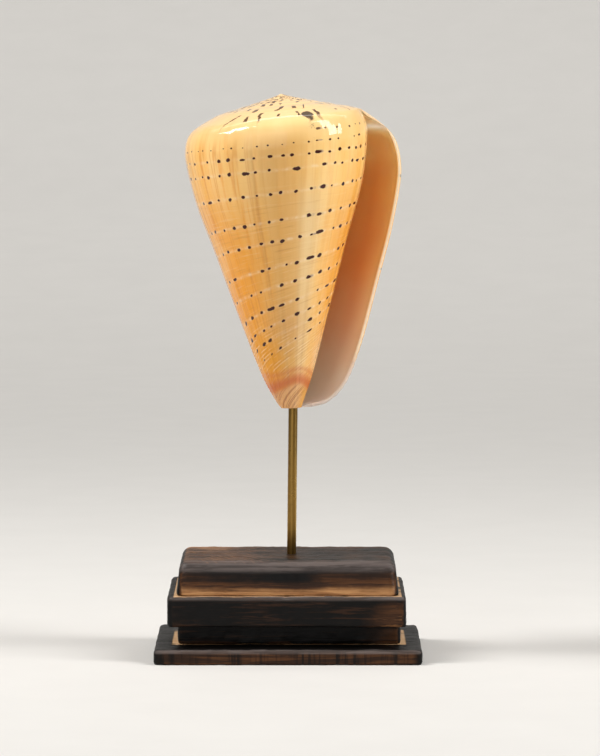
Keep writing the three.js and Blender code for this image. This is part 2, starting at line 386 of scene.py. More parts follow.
def tip_patch(skin):
    """The cut tip and the blind hole that the rod stands in."""
    edge = np.concatenate((skin[-1:, -1], skin[:, -1]))
    columns = len(edge)
    angle = np.concatenate(([0], np.linspace(0.5 / columns, 1, columns - 1))) * 2 * np.pi
    to_shell = SHELL_MATRIX.inverted()
    hole = ROD_RADIUS / MM + ROD_CLEARANCE
    rings = [edge]
    for rise, size in ((0.0, 1.0), (ROD_IN_SHELL, 1.0), (ROD_IN_SHELL, 0.0)):
        centre = rod_point(tip_height() + rise * MM)
        middle = np.array(to_shell @ centre)
        ring = np.empty((columns, 3))
        ring[:, 0] = middle[0] + size * hole * np.cos(angle)
        ring[:, 1] = middle[1] + size * hole * np.sin(angle)
        ring[:, 2] = -HEIGHT if rise == 0 else middle[2]
        rings.append(ring)
    rings.insert(1, (rings[0] + rings[1]) / 2)
    points = np.stack(rings)
    turn = np.concatenate(([1], np.linspace(0, 1, TURN_STEPS + 1)))[None, :]
    return surface_patch("tip", points, turn, np.full((1, columns), TIP_RADIUS), HEIGHT)


def tip_height():
    """Height of the shell's cut tip above the floor."""
    return APEX.z - HEIGHT * MM * math.cos(SHELL_TILT)


def rod_point(height):
    """The rod's axis at a height above the floor."""
    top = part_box("top_block")[1][2]
    return Vector((ROD_OFFSET + (height - top) * math.tan(ROD_TILT), 0, height))


# ---------------- finishes

def tint(red, green, blue):
    """A colour for a shader from its 0 to 255 display values."""
    linear = []
    for value in (red, green, blue):
        value /= 255
        linear.append(value / 12.92 if value <= 0.04045 else ((value + 0.055) / 1.055) ** 2.4)
    return (*linear, 1.0)


# Colours of the skin.
GROWTH_ORANGE = tint(236, 146, 44)
SHOULDER_CREAM = tint(254, 214, 144)
HAIR_BROWN = tint(214, 132, 46)
SCAR_BROWN = tint(206, 138, 64)
MILKY = tint(234, 206, 158)
THREAD_BROWN = tint(190, 122, 60)
THREAD_PALE = tint(255, 224, 166)
ROW_PALE = tint(255, 230, 190)
DOT_BROWN = tint(58, 12, 3)
SMEAR_GREY = tint(128, 112, 118)
SPIRE_CREAM = tint(250, 214, 164)
STREAK_BROWN = tint(66, 30, 20)
BLOTCH_BLACK = tint(44, 34, 36)
RIM_CREAM = tint(253, 230, 200)

# Colours of the lower end and the lining.
TIP_TAN = tint(206, 150, 96)
TIP_GOLD = tint(234, 156, 34)
TIP_PALE = tint(246, 208, 160)
CORD_PALE = tint(254, 226, 178)
CORD_BROWN = tint(192, 116, 54)
RUST = tint(206, 104, 54)
TIP_CREAM = tint(238, 184, 130)
TIP_LINE = tint(178, 108, 58)
TIP_AMBER = tint(226, 160, 54)
LINING_CLOUD = tint(196, 120, 66)

# Porcelain just inside the lip and further in, at shares of the height down from the top. Lighter
# at the lip and darker further in: partly the porcelain's own colour, partly a painted glow at the
# lip and painted shade deeper in.
LINING_SHARES = (0.0, 0.3, 0.55, 0.75, 0.9, 1.0)
LIP_LINING_AND_GLOW = (
    tint(255, 206, 164), tint(255, 194, 134), tint(250, 188, 134),
    tint(236, 190, 160), tint(220, 196, 180), tint(210, 196, 186),
)
DEEP_LINING_AND_SHADE = (
    tint(255, 188, 140), tint(246, 164, 102), tint(232, 152, 96),
    tint(212, 160, 130), tint(200, 176, 160), tint(194, 182, 172),
)

# Colours of the brass, the wood and the floor.
BRASS = tint(204, 172, 102)
BRASS_LINE = tint(170, 134, 68)
BRASS_BAND = tint(116, 84, 34)
TARNISH = tint(110, 84, 44)
SINGED_BROWN = tint(84, 52, 28)
SINGED_DARK = tint(48, 29, 17)
SAW_MARK = tint(140, 98, 64)
BARE_PALE = tint(232, 190, 140)
BARE_TAN = tint(198, 150, 104)
# Grey of the front-top edges: partly real rubbed char, partly a painted highlight of satin sheen.
RUBBED_GREY_AND_SHEEN = tint(104, 94, 90)
SOOT = tint(30, 20, 14)
PAPER_DARK = tint(214, 211, 206)
PAPER_PALE = tint(220, 217, 212)


def math_node(operation, swapped=False):
    """A method that puts a signal, and any other value, through a math node."""
    def method(signal, *others):
        values = (*others, signal) if swapped else (signal, *others)
        return signal.paint.math(operation, *values)
    return method


class Signal:
    """A number or colour that a node gives out. Sums with it add nodes to its material."""

    def __init__(self, paint, socket):
        self.paint = paint
        self.socket = socket

    __add__ = math_node("ADD")
    __sub__ = math_node("SUBTRACT")
    __rsub__ = math_node("SUBTRACT", swapped=True)
    __mul__ = math_node("MULTIPLY")
    __truediv__ = math_node("DIVIDE")
    __gt__ = math_node("GREATER_THAN")
    __lt__ = math_node("LESS_THAN")
    __abs__ = math_node("ABSOLUTE")
    __round__ = math_node("ROUND")


class Paint:
    """One material, with short calls that add nodes to it and join them up."""

    def __init__(self, name, **constants):
        self.material = bpy.data.materials.new(name)
        self.material.use_nodes = True
        self.tree = self.material.node_tree
        self.shader = self.tree.nodes["Principled BSDF"]
        for socket, value in constants.items():
            name = socket.replace("_", " ").title().replace("Ior", "IOR")
            self.shader.inputs[name].default_value = value

    def node(self, kind, inputs, output=0, **settings):
        node = self.tree.nodes.new(kind)
        for key, value in settings.items():
            setattr(node, key, value)
        for key, value in inputs.items():
            self.feed(node.inputs[key], value)
        return Signal(self, node.outputs[output])

    def feed(self, socket, value):
        """Joins a signal to a socket, or sets a plain value on it."""
        if isinstance(value, Signal):
            self.tree.links.new(value.socket, socket)
        else:
            socket.default_value = value

    def math(self, operation, *values):
        return self.node("ShaderNodeMath", dict(enumerate(values)), operation=operation)

    def top(self, first, *others):
        for other in others:
            first = self.math("MAXIMUM", first, other)
        return first

    def step(self, value, low, high):
        """0 at low, 1 at high and smooth between; low may be the larger."""
        inputs = {0: value, 1: low, 2: high, 3: 0.0, 4: 1.0}
        return self.node("ShaderNodeMapRange", inputs, interpolation_type="SMOOTHSTEP")

    def bell(self, value, centre, width):
        """1 at the centre, falling away smoothly over the width on both sides."""
        away = self.math("DIVIDE", value - centre, width)
        return self.math("POWER", math.e, away * away * -1.0)

    def mix(self, share, first, second):
        """The first colour where the share is 0, the second where it is 1."""
        inputs = {0: share, 6: first, 7: second}
        return self.node("ShaderNodeMix", inputs, 2, data_type="RGBA")

    def coats(self, base, *coats):
        """The base with coats of colour laid over it in turn, each at its own share."""
        for share, colour in coats:
            base = self.mix(share, base, colour)
        return base

    def mix_value(self, share, first, second):
        return self.node("ShaderNodeMix", {0: share, 2: first, 3: second}, 0, data_type="FLOAT")

    def vector(self, x=0.0, y=0.0, z=0.0):
        return self.node("ShaderNodeCombineXYZ", {0: x, 1: y, 2: z})

    def split(self, vector):
        node = self.tree.nodes.new("ShaderNodeSeparateXYZ")
        self.feed(node.inputs[0], vector)
        return [Signal(self, output) for output in node.outputs]

    def uv(self, name):
        """The two numbers of one of the piece's own maps, and a third that is 0."""
        return self.split(self.node("ShaderNodeUVMap", {}, uv_map=name))

    def place(self):
        """The point's place in metres, the same in every view."""
        return self.node("ShaderNodeTexCoord", {}, "Object")

    def noise(self, vector, scale=1.0, detail=2.0, roughness=0.5, distortion=0.0):
        inputs = {"Vector": vector, "Scale": scale, "Detail": detail,
                  "Roughness": roughness, "Distortion": distortion}
        return self.node("ShaderNodeTexNoise", inputs)

    def stretched(self, spot, x, y, z, detail=3.0, roughness=0.6, distortion=0.0):
        """Noise drawn out to a scale of its own along each axis."""
        across, back, up = self.split(spot)
        where = self.vector(across * x, back * y, up * z)
        return self.noise(where, 1.0, detail, roughness, distortion)

    def chance(self, x, y):
        """Three random numbers for each whole x and y."""
        inputs = {"Vector": self.vector(x, y)}
        node = self.node("ShaderNodeTexWhiteNoise", inputs, "Color", noise_dimensions="3D")
        return self.split(node)

    def ramp(self, value, places, colours):
        """Colours that run into each other from place to place along a value."""
        node = self.tree.nodes.new("ShaderNodeValToRGB")
        self.feed(node.inputs[0], value)
        elements = node.color_ramp.elements
        while len(elements) < len(places):
            elements.new(0.5)
        for element, position, colour in zip(elements, places, colours):
            element.position = position
            element.color = colour
        return Signal(self, node.outputs[0])

    def finish(self, colour, roughness, height, depth):
        """Joins the colour, roughness and relief to the shader. depth is in metres."""
        self.feed(self.shader.inputs["Base Color"], colour)
        self.feed(self.shader.inputs["Roughness"], roughness)
        normal = self.node("ShaderNodeBump", {"Height": height, "Distance": depth})
        self.feed(self.shader.inputs["Normal"], normal)
        return self.material


def dots(paint, turn, girth, row, width):
    """Masks of the dots along the spiral rows: the dark cores and their grey smears."""
    whole = round(row)
    per_turn = round(paint.top(46.0 - whole * 2.7, 14.0))
    run = turn * per_turn + whole * 0.37
    cell = paint.math("FLOOR", run)
    luck = paint.chance(cell, whole)
    more_luck = paint.chance(cell + 0.5, whole + 40.0)
    shift = (luck[0] - 0.5) * 0.42
    across = run - cell - (shift + 0.5)
    across = across * girth / per_turn
    off_row = (row - whole) * width + (luck[1] - 0.5) * 0.5
    wobble = (paint.noise(paint.place(), 900.0, 1.0) - 0.5) * 0.9

    shoulder = paint.step(turn, 0.76, 0.8) * paint.step(row, -1.7, -1.3) * 0.62
    size = paint.top(paint.step(row, -1.0, 1.0), shoulder)
    size = size * paint.step(row, 12.6, 10.0) * (luck[2] * 0.4 + 0.46)
    shown = (size > 0.1) * (more_luck[1] > 0.08)
    size = paint.top(size, 0.1)
    smeared = paint.top(*(paint.bell(turn, place, 0.012) for place in SMEAR_TURNS))
    long = more_luck[0] > 0.9
    stretch = smeared * 0.7 + long * 0.8 + 1.05
    reach = across / (size * stretch)
    height = off_row / (size * 0.85)
    ring = paint.math("SQRT", reach * reach + height * height)
    core = paint.step(ring + wobble, 1.12, 0.82) * shown

    trail = (across - 0.9) / 1.5
    trail = trail * trail + height * height
    smear = paint.step(trail, 1.3, 0.2) * smeared * shown
    return core, smear


def spire_streaks(paint, turn, girth, along):
    """Short dark streaks that run outwards over each whorl of the spire."""
    run = turn * SPIRE_STREAKS
    cell = paint.math("FLOOR", run)
    luck = paint.chance(cell, 3.0)
    more_luck = paint.chance(cell, 71.0)
    middle = (luck[0] - 0.5) * 0.5 + 0.5
    across = (run - cell - middle) * girth * (1 / SPIRE_STREAKS)
    across = across + (along - 0.6) * (luck[1] - 0.3) * 5.0
    across = across + (paint.noise(paint.place(), 260.0, 1.0) - 0.5) * 2.2
    wobble = (paint.noise(paint.place(), 800.0, 2.0) - 0.5) * 1.3
    half = luck[2] * 0.5 + 0.18
    thick = paint.step(abs(across) + wobble, half + 0.25, half)
    inner = more_luck[0] * 0.5
    outer = more_luck[1] * 0.5 + 0.52
    span = paint.step(along, inner, inner + 0.12) * paint.step(along, outer + 0.12, outer)
    return thick * span * (more_luck[2] > 0.16)


def skin_colour(paint, settings, turn, depth, row, width, growth):
    """The skin's ground colours, growth lines and pale bands, without its dots."""
    left = paint.step(turn, 0.74, 0.64) * 0.5 + 0.22
    side = 1.0 - paint.bell(turn, 0.785, 0.1)
    golden = paint.step(depth, 18.0, 62.0) * 0.72 + 0.24
    golden = side * golden * (paint.step(growth["cloud"], 0.25, 0.6) * 0.6 + 0.4)
    middle = paint.bell(turn, 0.752, 0.05) * paint.step(depth, 9.0, 18.0)
    milky = paint.bell(turn, 0.805, 0.028) * paint.step(depth, 24.0, 42.0) * 0.5
    base = paint.coats(
        settings.cream,
        (paint.step(growth["broad"], 0.35, 0.65), settings.peach),
        (paint.step(growth["fine"], 0.54, 0.66) * left * 0.7, GROWTH_ORANGE),
        (paint.step(depth, 27.0, 11.0) * 0.6, SHOULDER_CREAM),
        (golden, settings.gold),
        (growth["hair"] * left * paint.step(depth, 12.0, 20.0) * 0.7, HAIR_BROWN),
        (middle * 0.75, settings.tan),
        (growth["scar"] * 0.4, SCAR_BROWN),
        (milky, MILKY),
    )

    # Faint lines along the rows, and the pale band that each row of dots lies on.
    lines = paint.noise(paint.vector(turn * 9.0, row * 9.0), 1.0, 3.0, 0.6)
    lower = paint.step(depth, 22.0, 45.0)
    from_row = (row - round(row)) * width
    band = paint.bell(from_row, 0.0, 0.55) * paint.step(row, -1.0, 3.0)
    band = band * paint.step(row, 12.0, 10.5)
    broken = paint.noise(paint.vector(turn * 60.0, row * 2.0), 1.0)
    band = band * (paint.step(broken, 0.44, 0.66) * 0.42 + 0.12)
    return paint.coats(
        base,
        (paint.step(lines, 0.56, 0.68) * lower * 0.28, THREAD_BROWN),
        (paint.step(lines, 0.44, 0.34) * lower * 0.2, THREAD_PALE),
        (band, ROW_PALE),
    )


def tip_colour(paint, base, turn, depth, row, cloud, cords):
    """The lower end: winding cords, a golden side, a rusty band and a cream, lined tip."""
    near_tip = paint.step(depth, CORDS_START, CORDS_FULL) * paint.step(depth, *CORDS_FADE)
    broken = paint.noise(paint.vector(turn * 14.0, row * 3.0), 1.0)
    cords = cords * paint.step(broken, 0.34, 0.62)
    arch = paint.bell(turn, 0.8, 0.13) * 3.0
    rust = depth + (cloud - 0.5) * 7.0 + arch
    streak = paint.bell(rust, RUST_DEPTH - 4.0, 1.2) * 0.55
    band = paint.top(paint.bell(rust, RUST_DEPTH, 2.9), streak)
    end = paint.step(rust, *TIP_START)
    slant = turn * 26.0 + depth * 0.62
    lines = paint.noise(paint.vector(slant, depth * 0.02), 2.2, 3.0)
    return paint.coats(
        base,
        (paint.bell(depth, 80.0, 9.0) * paint.bell(turn, 0.76, 0.09) * 0.32, TIP_TAN),
        (paint.bell(depth, 91.0, 9.0) * paint.step(turn, 0.76, 0.64) * 0.9, TIP_GOLD),
        (paint.bell(depth, 91.0, 8.0) * paint.step(turn, 0.84, 0.94) * 0.7, TIP_PALE),
        (paint.step(cords, 0.35, 0.95) * near_tip * 0.5, CORD_PALE),
        (paint.step(cords, -0.3, -0.95) * near_tip * 0.35, CORD_BROWN),
        (band * 0.85, RUST),
        (end * 0.75, TIP_CREAM),
        (end * paint.step(lines, 0.52, 0.62) * 0.7, TIP_LINE),
        (end * paint.bell(turn, 0.9, 0.06) * 0.7, TIP_AMBER),
    )


def lining_colour(paint, turn, depth, cloud):
    """Porcelain inside the lip: orange-brown above and violet-grey towards the canal."""
    share = depth / LINING_SPAN
    near = paint.ramp(share, LINING_SHARES, LIP_LINING_AND_GLOW)
    far = paint.ramp(share, LINING_SHARES, DEEP_LINING_AND_SHADE)
    # Painted light and shade: the lighter colours at the lip stand partly for light coming through
    # the wall there, and the darker ones a little way in stand partly for the shade deeper inside.
    colour = paint.mix(paint.step(turn, 0.0, 0.09), near, far)
    return paint.mix(paint.step(cloud, 0.4, 0.7) * 0.16, colour, LINING_CLOUD)


def shell_finish(settings):
    """The glossy, dotted skin, the orange-brown porcelain inside it and the pale lip."""
    paint = Paint("shell_glaze", coat_weight=settings.gloss, coat_roughness=0.03, ior=1.45,
                  specular_ior_level=0.05, subsurface_radius=(1.0, 0.86, 0.7),
                  subsurface_scale=settings.glow_depth)
    turn, depth, _ = paint.uv("growth")
    row, width, _ = paint.uv("rows")
    girth, along, _ = paint.uv("girth")
    inside, rim, _ = paint.uv("zone")
    spot = paint.place()

    # Growth lines run down the whorl, so they follow the turn alone.
    streak_turn = turn + paint.noise(spot, 60.0) * 0.006
    fine = paint.vector(streak_turn * 95.0, depth * 0.03)
    fine = paint.noise(fine, 1.0, 3.0, 0.6)
    hair = paint.noise(paint.vector(streak_turn * 70.0, depth * 0.012, 9.0), 1.0, 1.0)
    hair = paint.bell(hair, 0.5, 0.035)
    broad = paint.vector(streak_turn * 26.0, depth * 0.015, 3.0)
    broad = paint.noise(broad, 1.0, 2.0)
    cloud = paint.noise(spot, 38.0, 3.0, 0.55)
    ragged = turn + (paint.noise(spot, 90.0) - 0.5) * 0.005
    scar = (paint.bell(ragged, SCAR_TURN, 0.0035) * paint.step(depth, 14.0, 26.0)
            * paint.step(depth, 76.0, 62.0))
    cords = paint.math("SINE", row * (CORDS_PER_ROW * 2 * math.pi))

    growth = {"cloud": cloud, "fine": fine, "hair": hair, "broad": broad, "scar": scar}
    base = skin_colour(paint, settings, turn, depth, row, width, growth)
    base = tip_colour(paint, base, turn, depth, row, cloud, cords)
    core, smear = dots(paint, turn, girth, row, width)
    on_body = turn < 1.01
    ramp = paint.step(along, 1.2, 0.85)
    streaks = spire_streaks(paint, turn, girth, along) * ramp
    edge = (paint.noise(spot, 420.0, 3.0, 0.7) - 0.5) * 0.7
    blotch = paint.bell(turn, BLOTCH_TURN, 0.014) * paint.bell(along, 0.72, 0.36) + edge
    low_rim = paint.step(rim, 0.0, 0.3) * paint.step(depth, 84.0, 97.0)
    pale_rim = paint.step(rim, 0.35, 1.0) * paint.step(depth, 97.0, 88.0) * 0.8
    inner_body = paint.step(turn, 0.99, 1.02) * paint.step(depth, 6.3, 7.3)
    base = paint.coats(
        base,
        (smear * on_body * 0.65, SMEAR_GREY),
        (core * on_body, DOT_BROWN),
        (ramp * 0.6, SPIRE_CREAM),
        (streaks * 0.9, STREAK_BROWN),
        (paint.step(blotch, 0.34, 0.52) * 0.9, BLOTCH_BLACK),
        (paint.top(inside, low_rim, inner_body), lining_colour(paint, turn, depth, cloud)),
        (pale_rim, RIM_CREAM),
    )

    # Light comes through the wall to its inner face, and the dotted outer face stays crisp.
    paint.feed(paint.shader.inputs["Subsurface Weight"], inside * settings.glow)
    relief = fine * 0.5 + broad * 0.4 + scar * -0.7
    relief = relief * (1.0 - inside)
    rough = cloud * 0.12 + 0.18
    return paint.finish(base, rough, relief, 0.0001)


def brass_finish():
    """Satin brass with fine drawn lines along it and a little tarnish."""
    paint = Paint("brass_rod", metallic=1.0)
    spot = paint.place()
    lines = paint.stretched(spot, 2600.0, 2600.0, 10.0)
    bands = paint.stretched(spot, 800.0, 800.0, 3.0, 1.0)
    tarnish = paint.noise(spot, 240.0, 4.0, 0.6)
    colour = paint.coats(
        BRASS,
        (paint.step(lines, 0.3, 0.7), BRASS_LINE),
        (paint.step(bands, 0.42, 0.6) * 0.75, BRASS_BAND),
        (paint.step(tarnish, 0.5, 0.75) * 0.4, TARNISH),
    )
    rough = tarnish * 0.2 + 0.2
    return paint.finish(colour, rough, lines, 0.00002)


def beside_board(paint, x, y, box, reach):
    """1 beside the ends of the board above, up to a reach from it, and 0 in front of it."""
    low, high = box
    off_x = abs(x - (low.x + high.x) / 2) - (high.x - low.x) / 2
    off_y = abs(y - (low.y + high.y) / 2) - (high.y - low.y) / 2
    return paint.step(off_x, reach, reach * 0.7) * paint.step(off_y, 0.6 * MM, 0.2 * MM)


def wood_finish(node, settings):
    """Sawn wood charred over most of its faces, bare where a neighbour shielded it."""
    paint = Paint(f"{node}_wood", specular_ior_level=0.12, coat_weight=0.06, coat_roughness=0.22)
    low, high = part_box(node)
    spot = paint.place()
    x, y, z = paint.split(spot)
    grain = paint.stretched(spot, 34.0, 520.0, 620.0, 4.0, 0.62, 0.6)
    fibres = paint.stretched(spot, 150.0, 2400.0, 2400.0, 2.0)
    cloud = paint.noise(spot, 62.0, 4.0, 0.6)
    ragged = (cloud - 0.5) * 0.9
    height = (z - low.z) / (high.z - low.z)
    on_front = paint.step(y, low.y + 5 * MM, low.y + 3 * MM)
    on_top = paint.step(z, high.z - 1.2 * MM, high.z - 0.4 * MM)
    from_end = high.x - abs(x)

    bare = paint.mix(paint.step(grain, 0.35, 0.65), settings.pale_wood, settings.brown_wood)
    if node == "top_block":
        middle = paint.bell(x, -0.004, 0.026) * 0.42 + 0.45
        burn = paint.step(height, 0.08, 0.5) * middle + ragged * 0.7 + 0.1
        burn = burn + paint.step(height, 0.6, 0.8) * 0.25
        burn = burn - paint.step(height, 0.14, 0.05) * 0.5
        surface = paint.step(x, -0.03, 0.004) * 0.4 + ragged + 0.42
        surface = surface - paint.step(y, 0.014, 0.024) * 0.3
        burn = paint.mix_value(on_top, burn, surface)
        burn = paint.mix_value(on_front, burn + (1.0 - on_top) * 0.6, burn)
    elif node == "bottom_slab":
        marks = paint.stretched(spot, 520.0, 40.0, 30.0, 3.0)
        burn = paint.step(marks, 0.42, 0.66) * 0.34 + ragged * 0.6 + 0.52
        burn = paint.mix_value(on_front, ragged + 1.1, burn)
        burn = paint.top(burn, paint.step(from_end, 0.008, 0.0))
        burn = paint.top(burn, paint.step(height, 0.12, 0.0), paint.step(height, 0.78, 0.98))
    else:
        end = paint.step(x, 0.022, 0.038) * paint.step(height, 0.9, 0.6) * 0.42
        burn = ragged * 0.7 + 1.0 - end
        burn = burn - paint.step(grain, 0.5, 0.66) * 0.5
    burn = paint.top(burn, paint.step(from_end, 0.0022, 0.0004))
    brown = paint.mix(paint.step(grain, 0.4, 0.6), SINGED_BROWN, SINGED_DARK)
    scorched = paint.mix(paint.step(burn, 0.0, 0.5), bare, brown)
    scorched = paint.mix(paint.step(burn, 0.5, 1.0), scorched, settings.char)
    if node == "top_block":
        saw = x * 2000.0 + y * 1100.0 + cloud * 5.0
        saw = paint.step(paint.math("SINE", saw), 0.3, 0.95) * on_top * paint.step(x, 0.006, -0.02)
        saw = saw * paint.step(paint.noise(spot, 160.0), 0.4, 0.6) * 0.5
        scorched = paint.mix(saw, scorched, SAW_MARK)
    above = {"bottom_slab": "neck_block", "middle_slab": "top_block"}.get(node)
    if above:
        reach = settings.bare_strip * (2.2 if node == "bottom_slab" else 1)
        beside = beside_board(paint, x, y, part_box(above), reach) * on_top
        beside = beside * paint.step(cloud, 0.34, 0.46)
        scorched = paint.mix(beside, scorched, paint.mix(grain, BARE_PALE, BARE_TAN))
    # Painted highlight: a grey satin band along the front-top edge stands for the sheen the lights
    # catch there, together with some real rubbing of the char.
    edge = settings.top_edge if node == "top_block" else settings.edge
    set_back = (1 - TOP_TAPER[1]) * (high.y - low.y) / 2 if node == "top_block" else 0
    front = low.y + set_back
    burnished_and_sheen = (paint.step(y, front + edge * 1.5, front + edge * 0.5)
                 * paint.step(z, high.z - edge * 1.5, high.z - edge * 0.7))
    if node != "neck_block":
        burnished_and_sheen = burnished_and_sheen * (paint.step(grain, 0.6, 0.4) * 0.45 + 0.4)
        scorched = paint.mix(burnished_and_sheen, scorched, RUBBED_GREY_AND_SHEEN)
    worn = paint.step(fibres, 0.55, 0.75) * 0.4
    colour = paint.mix(worn, scorched, SOOT)
    rough = grain * 0.25 + 0.34
    relief = grain * 0.8 + fibres * 0.3
    return paint.finish(colour, rough, relief, 0.0003)


def floor_finish():
    """Matt, faintly mottled paper."""
    paint = Paint("floor_paper")
    fibre = paint.noise(paint.place(), 30.0, 3.0, 0.6)
    colour = paint.mix(fibre, PAPER_DARK, PAPER_PALE)
    rough = fibre * 0.1 + 0.75
    return paint.finish(colour, rough, fibre, 0.0001)


# ---------------- settings

class ShellSettings(bpy.types.PropertyGroup):
    cream: bpy.props.FloatVectorProperty(
        name="Cream", description="Palest colour of the skin", subtype="COLOR", size=4,
        default=tint(252, 212, 140), min=0, max=1)
    peach: bpy.props.FloatVectorProperty(
        name="Peach", description="Colour of the broad growth bands", subtype="COLOR", size=4,
        default=tint(248, 197, 112), min=0, max=1)
    gold: bpy.props.FloatVectorProperty(
        name="Gold", description="Colour of the sides and the fine growth lines", subtype="COLOR",
        size=4, default=tint(240, 154, 20), min=0, max=1)
    tan: bpy.props.FloatVectorProperty(
        name="Tan", description="Greyer colour down the middle of the front", subtype="COLOR",
        size=4, default=tint(224, 166, 88), min=0, max=1)
    gloss: bpy.props.FloatProperty(
        name="Gloss", description="Strength of the clear gloss on the skin", default=0.7,
        min=0, max=1, subtype="FACTOR")
    glow: bpy.props.FloatProperty(
        name="Glow", description="Share of the light inside that has come through the wall",
        default=0.85, min=0, max=1, subtype="FACTOR")
    glow_depth: bpy.props.FloatProperty(
        name="Glow depth", description="How far light reaches through the wall", default=6 * MM,
        min=0, max=10 * MM, unit="LENGTH")


class StandSettings(bpy.types.PropertyGroup):
    pale_wood: bpy.props.FloatVectorProperty(
        name="Pale wood", description="Unburnt wood", subtype="COLOR", size=4,
        default=tint(178, 130, 84), min=0, max=1)
    brown_wood: bpy.props.FloatVectorProperty(
        name="Brown wood", description="Darker grain of the unburnt wood", subtype="COLOR",
        size=4, default=tint(132, 88, 52), min=0, max=1)
    char: bpy.props.FloatVectorProperty(
        name="Char", description="Charred surface", subtype="COLOR", size=4,
        default=tint(8, 6, 5), min=0, max=1)
    edge: bpy.props.FloatProperty(
        name="Edge", description="Rounding of the thinner boards' edges", default=1.2 * MM,
        min=0.2 * MM, max=2 * MM, unit="LENGTH")
    wear: bpy.props.FloatProperty(
        name="Wear", description="Depth of the dents that burning and brushing left",
        default=0.5 * MM, min=0, max=1 * MM, unit="LENGTH")
    bare_strip: bpy.props.FloatProperty(
        name="Bare strip", description="Unburnt strip beside the board above", default=1 * MM,
        min=0, max=4 * MM, unit="LENGTH")
    top_edge: bpy.props.FloatProperty(
        name="Top edge", description="Rounding of the top board's edges", default=3 * MM,
        min=1 * MM, max=4 * MM, unit="LENGTH")


class StudioSettings(bpy.types.PropertyGroup):
    side_power: bpy.props.FloatProperty(
        name="Side lights", description="Power of each of the two soft side lights",
        default=7.0, min=0, unit="POWER")
    front_power: bpy.props.FloatProperty(
        name="Front light", description="Power of the soft light above the camera",
        default=5.5, min=0, unit="POWER")
    backdrop_power: bpy.props.FloatProperty(
        name="Backdrop light", description="Power of the light on the backdrop behind the stand",
        default=45.0, min=0, unit="POWER")
    fill: bpy.props.FloatProperty(
        name="Fill", description="Strength of the even light from all round", default=0.2, min=0)


# ---------------- pieces

def start_clean():
    """Object mode with nothing selected."""
    if bpy.context.object and bpy.context.object.mode != "OBJECT":
        bpy.ops.object.mode_set(mode="OBJECT")
    bpy.ops.object.select_all(action="DESELECT")


def settle(piece, angle=math.radians(60)):
    """Puts the piece's place into its mesh and smooths what isn't an edge."""
    start_clean()
    piece.select_set(True)
    bpy.context.view_layer.objects.active = piece
    bpy.ops.object.transform_apply(location=True, rotation=True, scale=True)
    bpy.ops.object.shade_smooth_by_angle(angle=angle)


def stand_in(piece, node, material):
    """Gives the piece its finish and puts it in the place of its node."""
    piece.data.materials.clear()
    piece.data.materials.append(material)
    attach(piece, "root")
    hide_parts(node)


class MakeShell(bpy.types.Operator):
    """Grow the shell from its patches and close them into one skin"""
    bl_idname = "object.cone_shell_grow"
    bl_label = "Shell"

    def execute(self, context):
        start_clean()
        patches = shell_patches()
        start_clean()
        for patch in patches:
            patch.select_set(True)
        context.view_layer.objects.active = patches[0]
        bpy.ops.object.join()
        shell = context.object
        shell.name = "cone_shell"
        bpy.ops.object.mode_set(mode="EDIT")
        bpy.ops.mesh.select_all(action="SELECT")
        bpy.ops.mesh.remove_doubles(threshold=MERGE_DISTANCE)
        bpy.ops.mesh.fill_holes(sides=0)
        bpy.ops.mesh.normals_make_consistent(inside=False)
        bpy.ops.object.mode_set(mode="OBJECT")
        settle(shell)
        stand_in(shell, "shell", shell_finish(context.scene.cone_shell))
        return {"FINISHED"}


class MakeRod(bpy.types.Operator):
    """Turn the brass rod with softened ends"""
    bl_idname = "object.cone_shell_rod"
    bl_label = "Rod"

    def execute(self, context):
        start_clean()
        low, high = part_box("rod")
        length = (high.z - low.z) / math.cos(ROD_TILT) - 2 * ROD_RADIUS * math.tan(ROD_TILT)
        middle = rod_point((low.z + high.z) / 2)
        bpy.ops.mesh.primitive_cylinder_add(
            vertices=ROD_SIDES, radius=ROD_RADIUS, depth=length, location=middle,
            rotation=(0, ROD_TILT, 0))
        rod = context.object
        rod.name = "brass_rod"
        pick_faces(rod, lambda face: abs(face.normal.z) > 0.9)
        bpy.ops.mesh.bevel(offset=ROD_SOFTENING, segments=3)
        bpy.ops.object.mode_set(mode="OBJECT")
        settle(rod, math.radians(40))
        stand_in(rod, "rod", brass_finish())
        return {"FINISHED"}


class MakeBoards(bpy.types.Operator):
    """Cut the four boards, round and wear their edges and char them"""
    bl_idname = "object.cone_shell_boards"
    bl_label = "Boards"

    def execute(self, context):
        settings = context.scene.cone_stand
        edges = {"top_block": settings.top_edge, "neck_block": NECK_EDGE}
        for node in BOARDS:
            board = worn_board(node, edges.get(node, settings.edge), settings.wear)
            stand_in(board, node, wood_finish(node, settings))
        return {"FINISHED"}


def worn_board(node, edge, wear):
    """A sawn board with rounded edges and a surface that burning and brushing left uneven."""
    start_clean()
    low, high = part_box(node)
    bpy.ops.mesh.primitive_cube_add(size=1, location=(low + high) / 2, scale=high - low)
    board = bpy.context.object
    board.name = f"{node}_wood"
    bpy.ops.object.transform_apply(location=True, rotation=True, scale=True)
    tapered = node == "top_block"
    if tapered:
        pick_faces(board, lambda face: face.normal.z > 0.9)
        bpy.ops.transform.resize(value=(*TOP_TAPER, 1), center_override=(low + high) / 2)
        bpy.ops.object.mode_set(mode="OBJECT")
    corner = edge if tapered else max(edge, CORNER_ROUNDING)
    above, below = high.z - NEARLY, low.z + NEARLY
    bevel_edges(board, corner, lambda start, end: abs(start.z - end.z) > MM)
    bevel_edges(board, edge, lambda start, end: min(start.z, end.z) > above)
    if not tapered:
        bevel_edges(board, LOWER_ROUNDING, lambda start, end: max(start.z, end.z) < below)
    wear_surface(board, wear)
    settle(board)
    return board


